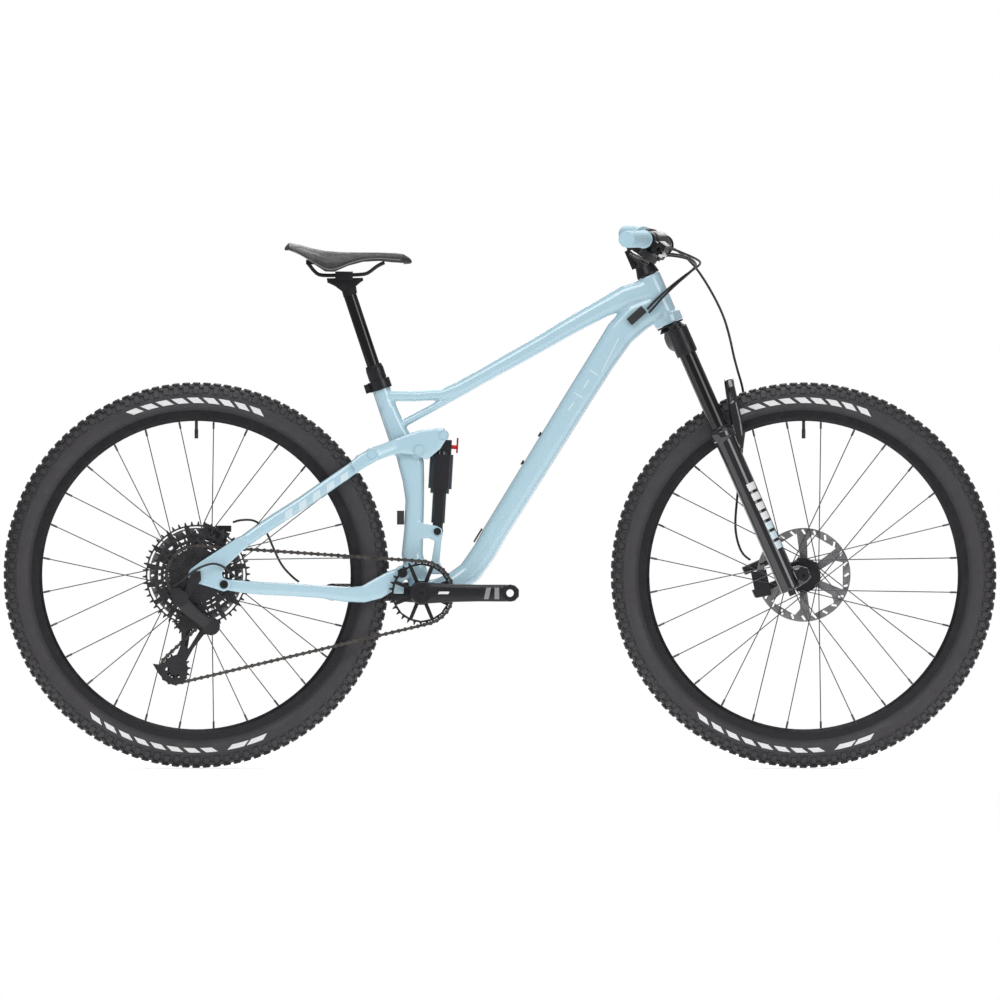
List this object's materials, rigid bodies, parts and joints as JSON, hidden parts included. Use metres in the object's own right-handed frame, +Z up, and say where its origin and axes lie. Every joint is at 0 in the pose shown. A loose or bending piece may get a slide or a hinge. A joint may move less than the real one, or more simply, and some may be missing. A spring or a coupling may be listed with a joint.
{
  "type": "mountain bike",
  "caption": "Full-suspension trail bike with a four-bar rear end, telescopic fork, dropper seat post, disc brakes and a single-ring chain drive; pedals not fitted.",
  "frame": {"origin": "on the ground, on the bike's middle plane, midway between the two axles", "axes": "+X forward, +Y to the rider's left, +Z up"},
  "size_m": [1.904, 0.7536, 1.0354],
  "materials": {
    "frame_paint": "gloss light blue paint",
    "black_alloy": "satin black anodised",
    "fork_paint": "gloss black paint",
    "black_plastic": "moulded black",
    "black_metal": "black painted castings",
    "silver": "brushed silver",
    "red_alloy": "red anodised",
    "steel": "ground stainless steel",
    "dark_steel": "dark steel",
    "hose": "black sleeve",
    "grip_rubber": "light blue rubber",
    "tyre": "black rubber",
    "saddle_skin": "matt black synthetic cover over foam"
  },
  "bodies": {
    "frame": {"front_frame": "frame_paint", "frame_bolts": "black_alloy", "frame_covers": "black_plastic", "bearing_cups": "black_alloy", "post_collar": "black_alloy", "cables_to_frame": "hose", "chain": "dark_steel"},
    "rear_arm": {"chainstay": "frame_paint"},
    "rear_stay": {"seatstay": "frame_paint", "stay_axles": "black_alloy", "rear_caliper": "black_metal", "derailleur": "black_metal", "rear_cables": "hose"},
    "rocker_link": {"rocker": "frame_paint", "rocker_bolts": "black_alloy"},
    "shock_rod": {"shock_shaft": "silver"},
    "shock_can": {"shock_body": "black_metal"},
    "shock_switch": {"shock_lever": "red_alloy"},
    "fork_upper": {"fork_crown": "black_alloy", "stanchions": "black_alloy", "cockpit_hardware": "black_alloy", "stem": "black_alloy", "handlebar": "black_alloy", "grips": "grip_rubber", "brake_masters": "black_metal", "thumb_controls": "black_plastic"},
    "compression_dial": {"fork_dial": "black_alloy"},
    "brake_lever_right": {"brake_blade_right": "black_alloy"},
    "brake_lever_left": {"brake_blade_left": "black_alloy"},
    "downshift_paddle": {"shift_paddle_down": "silver"},
    "upshift_paddle": {"shift_paddle_up": "black_plastic"},
    "post_paddle": {"dropper_paddle": "black_plastic"},
    "fork_slider": {"fork_lowers": "fork_paint", "fork_hardware": "black_alloy", "front_caliper": "black_metal", "brake_hose_front": "hose"},
    "rebound_knob": {"rebound_dial": "red_alloy"},
    "front_wheel": {"front_tyre": "tyre", "front_rim": "black_alloy", "front_spokes": "dark_steel", "front_hub": "black_alloy", "front_rotor": "steel", "front_wheel_hardware": "dark_steel"},
    "rear_wheel": {"rear_tyre": "tyre", "rear_rim": "black_alloy", "rear_spokes": "dark_steel", "rear_hub": "black_alloy", "rear_rotor": "steel", "rear_wheel_hardware": "dark_steel"},
    "cassette": {"cassette": "dark_steel"},
    "crank": {"crank_right": "black_alloy", "chainring_and_bolt": "black_alloy", "crank_left": "black_alloy"},
    "cage": {"derailleur_cage": "black_plastic"},
    "guide_pulley": {"guide_pulley": "black_plastic"},
    "tension_pulley": {"tension_pulley": "black_plastic"},
    "seat": {"dropper_inner": "black_alloy", "saddle_cradle": "black_alloy", "saddle_rails": "dark_steel", "saddle_cover": "saddle_skin"}
  },
  "joints": [
    {"name": "steering", "type": "hinge", "parent": "frame", "child": "fork_upper", "pos_m": [0.3255, 0, 0.8514], "axis": [-0.4019, 0, 0.9157], "range_deg": [-65, 65], "deforming": ["cables_to_frame"]},
    {"name": "fork_travel", "type": "slide", "parent": "fork_upper", "child": "fork_slider", "axis": [-0.4019, 0, 0.9157], "range_m": [0, 0.13], "stiffness_N_per_m": 6000, "springref_m": -0.03, "deforming": ["brake_hose_front"]},
    {"name": "front_wheel_spin", "type": "hinge", "parent": "fork_slider", "child": "front_wheel", "pos_m": [0.582, 0, 0.37], "axis": [0, 1, 0], "continuous": true},
    {"name": "rear_travel", "type": "hinge", "parent": "frame", "child": "rear_arm", "pos_m": [-0.1867, 0, 0.3747], "axis": [0, 1, 0], "range_deg": [0, 18.24], "stiffness_Nm_per_rad": 2400, "springref_deg": -2.29, "deforming": ["chain"]},
    {"name": "stay_pivot", "type": "hinge", "parent": "rear_arm", "child": "rear_stay", "pos_m": [-0.5293, 0, 0.3534], "axis": [0, 1, 0], "range_deg": [-12.6, 0], "deforming": ["rear_cables"]},
    {"name": "rocker_turn", "type": "hinge", "parent": "frame", "child": "rocker_link", "pos_m": [-0.155, 0, 0.61], "axis": [0, 1, 0], "range_deg": [0, 56.5]},
    {"name": "shock_tilt", "type": "hinge", "parent": "frame", "child": "shock_rod", "pos_m": [-0.12, 0, 0.454], "axis": [0, 1, 0], "range_deg": [0, 2.52]},
    {"name": "shock_travel", "type": "slide", "parent": "shock_rod", "child": "shock_can", "axis": [-0.057, 0, -0.9984], "range_m": [0, 0.0501]},
    {"name": "shock_lever_turn", "type": "hinge", "parent": "shock_can", "child": "shock_switch", "pos_m": [-0.09075, 0, 0.6156], "axis": [0.9984, 0, -0.057], "range_deg": [0, 50]},
    {"name": "rear_wheel_spin", "type": "hinge", "parent": "rear_stay", "child": "rear_wheel", "pos_m": [-0.582, 0, 0.37], "axis": [0, 1, 0], "continuous": true},
    {"name": "crank_spin", "type": "hinge", "parent": "frame", "child": "crank", "pos_m": [-0.1507, 0, 0.3366], "axis": [0, 1, 0], "continuous": true},
    {"name": "cassette_spin", "type": "hinge", "parent": "rear_stay", "child": "cassette", "pos_m": [-0.582, 0, 0.37], "axis": [0, 1, 0], "continuous": true},
    {"name": "cage_pivot", "type": "hinge", "parent": "rear_stay", "child": "cage", "pos_m": [-0.5542, 0, 0.2731], "axis": [0, 1, 0], "range_deg": [-8.1, 0]},
    {"name": "guide_pulley_spin", "type": "hinge", "parent": "cage", "child": "guide_pulley", "pos_m": [-0.6025, 0, 0.2824], "axis": [0, 1, 0], "continuous": true},
    {"name": "tension_pulley_spin", "type": "hinge", "parent": "cage", "child": "tension_pulley", "pos_m": [-0.6228, 0, 0.1912], "axis": [0, 1, 0], "continuous": true},
    {"name": "seat_drop", "type": "slide", "parent": "frame", "child": "seat", "axis": [0.3156, 0, -0.9489], "range_m": [0, 0.125]},
    {"name": "brake_lever_right_pull", "type": "hinge", "parent": "fork_upper", "child": "brake_lever_right", "pos_m": [0.30752, -0.23067, 0.99577], "axis": [-0.5842, 0.1372, -0.8], "range_deg": [0, 16]},
    {"name": "brake_lever_left_pull", "type": "hinge", "parent": "fork_upper", "child": "brake_lever_left", "pos_m": [0.30752, 0.23067, 0.99577], "axis": [0.5842, 0.1372, 0.8], "range_deg": [0, 16]},
    {"name": "shift_down_push", "type": "hinge", "parent": "fork_upper", "child": "downshift_paddle", "pos_m": [0.27854, -0.18166, 0.97533], "axis": [0.5842, -0.1372, 0.8], "range_deg": [0, 24]},
    {"name": "shift_up_push", "type": "hinge", "parent": "fork_upper", "child": "upshift_paddle", "pos_m": [0.27854, -0.18166, 0.97533], "axis": [0.5842, -0.1372, 0.8], "range_deg": [0, 12]},
    {"name": "dropper_push", "type": "hinge", "parent": "fork_upper", "child": "post_paddle", "pos_m": [0.28332, 0.18069, 0.98451], "axis": [-0.5842, -0.1372, -0.8], "range_deg": [0, 20]},
    {"name": "fork_dial_turn", "type": "hinge", "parent": "fork_upper", "child": "compression_dial", "pos_m": [0.33685, -0.065, 0.84546], "axis": [-0.4019, 0, 0.9157], "range_deg": [-90, 0]},
    {"name": "rebound_dial_turn", "type": "hinge", "parent": "fork_slider", "child": "rebound_knob", "pos_m": [0.55993, -0.065, 0.33727], "axis": [-0.4019, 0, 0.9157], "range_deg": [-340, 0]}
  ],
  "couplings": [
    {"joint": "stay_pivot", "follows": "rear_travel", "ratio": -0.68859},
    {"joint": "rocker_turn", "follows": "rear_travel", "ratio": 3.0902},
    {"joint": "shock_tilt", "follows": "rear_travel", "ratio": 0.13748},
    {"joint": "shock_travel", "follows": "rear_travel", "m_per_rad": 0.15704},
    {"joint": "cage_pivot", "follows": "rear_travel", "ratio": -0.4385},
    {"joint": "cassette_spin", "follows": "crank_spin", "ratio": 1.0714},
    {"joint": "guide_pulley_spin", "follows": "crank_spin", "ratio": -2.5},
    {"joint": "tension_pulley_spin", "follows": "crank_spin", "ratio": 2.1429}
  ]
}
